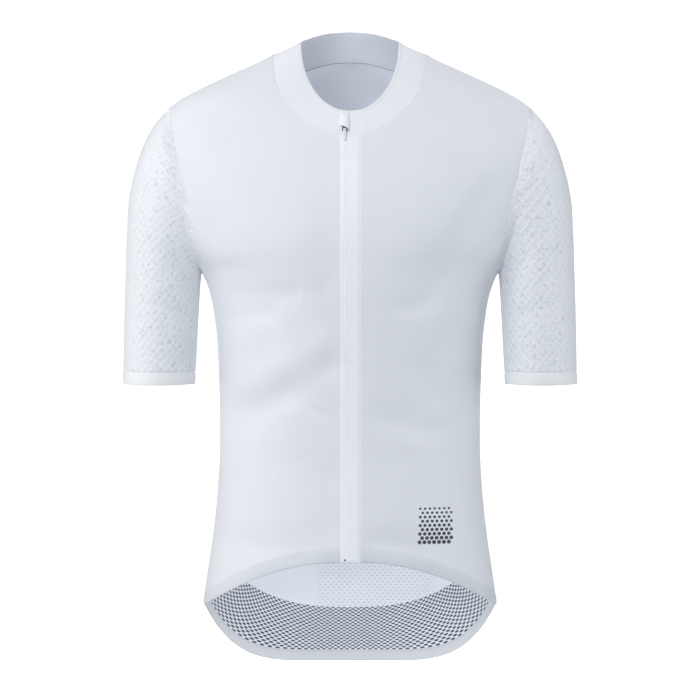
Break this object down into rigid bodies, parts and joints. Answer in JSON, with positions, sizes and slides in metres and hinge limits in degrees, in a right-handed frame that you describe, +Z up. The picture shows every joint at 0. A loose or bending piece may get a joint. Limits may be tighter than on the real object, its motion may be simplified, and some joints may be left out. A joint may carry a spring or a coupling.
{
  "type": "cycling jersey",
  "caption": "Hollow short-sleeved cycling jersey with a full front zip, low collar, mesh sleeves, dropped tail and rear pockets.",
  "frame": {"origin": "midway between the two shoulder points of the neck, where the wearer's shoulders carry the jersey", "axes": "+Z up, -Y to the front, +X to the wearer's left"},
  "size_m": [0.4986, 0.2332, 0.7045],
  "materials": {
    "knit": "smooth white knit",
    "net": "open white net over a dark inside",
    "sleeve_mesh": "raised diagonal mesh",
    "band": "plain white elastic band",
    "tape": "woven white zip tape",
    "coil": "white nylon coil",
    "slider": "painted die-cast metal",
    "pull": "white moulded tab"
  },
  "bodies": {
    "garment": {"front_right": "knit", "front_left": "knit", "back": "knit", "rear_pockets": "knit", "tail_net": "net", "sleeve_right": "sleeve_mesh", "sleeve_left": "sleeve_mesh", "cuff_right": "band", "cuff_left": "band", "collar": "band", "hem_front_right": "band", "hem_front_left": "band", "hem_back": "band", "zip_tape_right": "tape", "zip_tape_left": "tape", "zip_garage": "tape", "zip_chain": "coil", "zip_slider": "slider"},
    "zip_pull": {"zip_pull": "pull"}
  },
  "joints": [
    {"name": "pull_swing", "type": "hinge", "parent": "garment", "child": "zip_pull", "pos_m": [-0.00575, -0.0842, -0.0874], "axis": [-1, 0, 0], "range_deg": [0, 110]}
  ]
}
